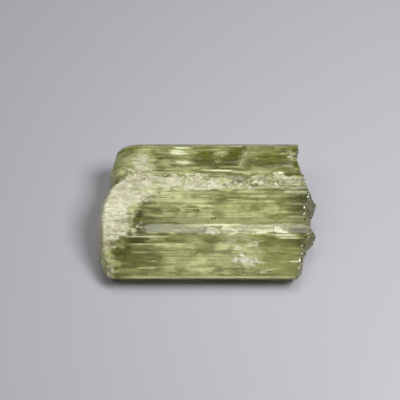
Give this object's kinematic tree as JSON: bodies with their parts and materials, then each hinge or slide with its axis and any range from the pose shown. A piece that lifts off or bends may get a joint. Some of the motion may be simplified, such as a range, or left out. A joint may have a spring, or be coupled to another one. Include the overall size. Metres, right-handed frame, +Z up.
{
  "type": "hiddenite crystal",
  "caption": "Single natural crystal of green spodumene: a flattened, striated prism with an etched round end and a splintery broken end, lying on its flat side.",
  "frame": {"origin": "middle of the bounding box, on the flat face that the crystal rests on", "axes": "+X along the crystal's length towards the broken end, +Y across it towards the high back ridge, +Z up"},
  "size_m": [0.0294, 0.0186, 0.0079],
  "materials": {
    "spodumene": "see-through yellow-green spodumene with glassy striated faces, frosted where it is etched",
    "inclusions": "white feathers, growth tubes and healed cracks sealed in the crystal"
  },
  "bodies": {
    "root": {"crystal": "spodumene"}
  },
  "joints": []
}
